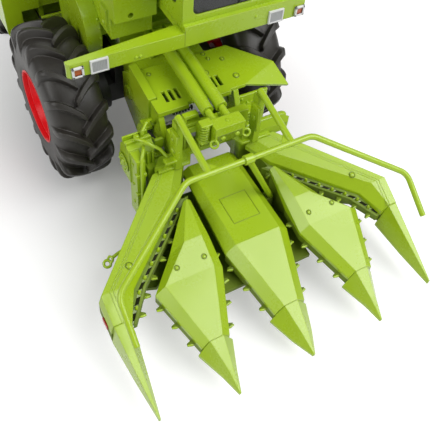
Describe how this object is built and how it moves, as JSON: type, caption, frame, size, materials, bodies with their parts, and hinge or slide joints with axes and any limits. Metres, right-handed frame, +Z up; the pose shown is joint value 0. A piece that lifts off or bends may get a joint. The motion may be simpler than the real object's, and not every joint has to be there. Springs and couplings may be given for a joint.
{
  "type": "forage harvester scale model",
  "caption": "Scale model of a self-propelled forage harvester: row-crop header with pointed dividers on a lifting intake, offset cab, steered rear wheels and a turning spout.",
  "frame": {"origin": "on the floor below the middle of the front axle, which is the middle of the model in length and width", "axes": "-Y is the way the machine drives, +X is its own left-hand side, +Z is up"},
  "size_m": [0.0944, 0.2062, 0.1257],
  "materials": {
    "body_green": "semi-gloss lime green",
    "header_dark": "dark green moulded underside",
    "frame_black": "black moulded frame",
    "rim_red": "bright red",
    "tyre": "charcoal rubber",
    "steel": "satin steel",
    "roof_white": "off-white",
    "seat_black": "black moulded",
    "tinted_glass": "dark tinted clear plastic",
    "lamp_lens": "silver with grey lens",
    "lamp_amber": "amber",
    "lamp_red": "red"
  },
  "bodies": {
    "chassis": {"chassis_frame": "frame_black", "front_axle": "frame_black", "rear_axle": "frame_black", "tow_tongue": "frame_black", "chopper_housing": "body_green", "front_beam": "body_green", "headlamps": "lamp_lens", "turn_lamps": "lamp_amber", "platform": "body_green", "cab_front": "body_green", "cab_back": "body_green", "cab_side_right": "body_green", "cab_door_left": "body_green", "cab_glass": "tinted_glass", "cab_roof": "roof_white", "driver_seat": "seat_black", "steering_column": "seat_black", "crop_tower": "body_green", "engine_hood": "body_green", "radiator_screen": "frame_black", "fuel_tank": "body_green", "exhaust": "steel", "ladder": "frame_black", "rear_lamps": "lamp_red", "drive_guard": "body_green"},
    "intake": {"intake_housing": "body_green", "intake_hood": "body_green", "feed_rollers": "steel", "coupling_frame": "body_green", "header_frame": "header_dark", "snout_right": "body_green", "snout_left": "body_green", "snout_centre": "body_green", "outer_divider_right": "body_green", "outer_divider_left": "body_green", "guide_bar": "body_green", "header_gearbox": "body_green", "gathering_chains": "header_dark"},
    "lift_barrels": {"lift_barrels": "body_green"},
    "lift_rods": {"lift_rods": "body_green"},
    "front_wheel_left": {"front_tyre_left": "tyre", "front_rim_left": "rim_red"},
    "front_wheel_right": {"front_tyre_right": "tyre", "front_rim_right": "rim_red"},
    "rear_knuckle_left": {"rear_knuckle_left": "frame_black"},
    "rear_knuckle_right": {"rear_knuckle_right": "frame_black"},
    "rear_wheel_left": {"rear_tyre_left": "tyre", "rear_rim_left": "rim_red"},
    "rear_wheel_right": {"rear_tyre_right": "tyre", "rear_rim_right": "rim_red"},
    "spout": {"spout": "body_green"},
    "spout_flap": {"spout_flap": "body_green"}
  },
  "joints": [
    {"name": "front_wheel_left", "type": "hinge", "parent": "chassis", "child": "front_wheel_left", "pos_m": [0.0305, 0, 0.0245], "axis": [1, 0, 0], "continuous": true},
    {"name": "front_wheel_right", "type": "hinge", "parent": "chassis", "child": "front_wheel_right", "pos_m": [-0.0305, 0, 0.0245], "axis": [1, 0, 0], "continuous": true},
    {"name": "rear_steer_left", "type": "hinge", "parent": "chassis", "child": "rear_knuckle_left", "pos_m": [0.0195, 0.074, 0.016], "axis": [0, 0, 1], "range_deg": [-30, 30]},
    {"name": "rear_steer_right", "type": "hinge", "parent": "chassis", "child": "rear_knuckle_right", "pos_m": [-0.0195, 0.074, 0.016], "axis": [0, 0, 1], "range_deg": [-30, 30]},
    {"name": "rear_wheel_left", "type": "hinge", "parent": "rear_knuckle_left", "child": "rear_wheel_left", "pos_m": [0.028, 0.074, 0.016], "axis": [1, 0, 0], "continuous": true},
    {"name": "rear_wheel_right", "type": "hinge", "parent": "rear_knuckle_right", "child": "rear_wheel_right", "pos_m": [-0.028, 0.074, 0.016], "axis": [1, 0, 0], "continuous": true},
    {"name": "intake_lift", "type": "hinge", "parent": "chassis", "child": "intake", "pos_m": [0, -0.012, 0.031], "axis": [-1, 0, 0], "range_deg": [-2.5, 12]},
    {"name": "lift_barrel_pivot", "type": "hinge", "parent": "chassis", "child": "lift_barrels", "pos_m": [0, -0.0095, 0.0476], "axis": [-1, 0, 0], "range_deg": [-2.6, 12]},
    {"name": "lift_rod_slide", "type": "slide", "parent": "lift_barrels", "child": "lift_rods", "axis": [0, -0.9945, -0.1047], "range_m": [-0.0037, 0.001]},
    {"name": "spout_swivel", "type": "hinge", "parent": "chassis", "child": "spout", "pos_m": [-0.0106, 0.001, 0.0863], "axis": [0, 0, 1], "range_deg": [-100, 100]},
    {"name": "spout_flap_tilt", "type": "hinge", "parent": "spout", "child": "spout_flap", "pos_m": [-0.0106, 0.08011, 0.11984], "axis": [-1, 0, 0], "range_deg": [-45, 12]}
  ],
  "couplings": [
    {"joint": "rear_steer_right", "follows": "rear_steer_left", "ratio": 1},
    {"joint": "lift_barrel_pivot", "follows": "intake_lift", "ratio": 0.918},
    {"joint": "lift_rod_slide", "follows": "intake_lift", "m_per_rad": -0.01649}
  ]
}
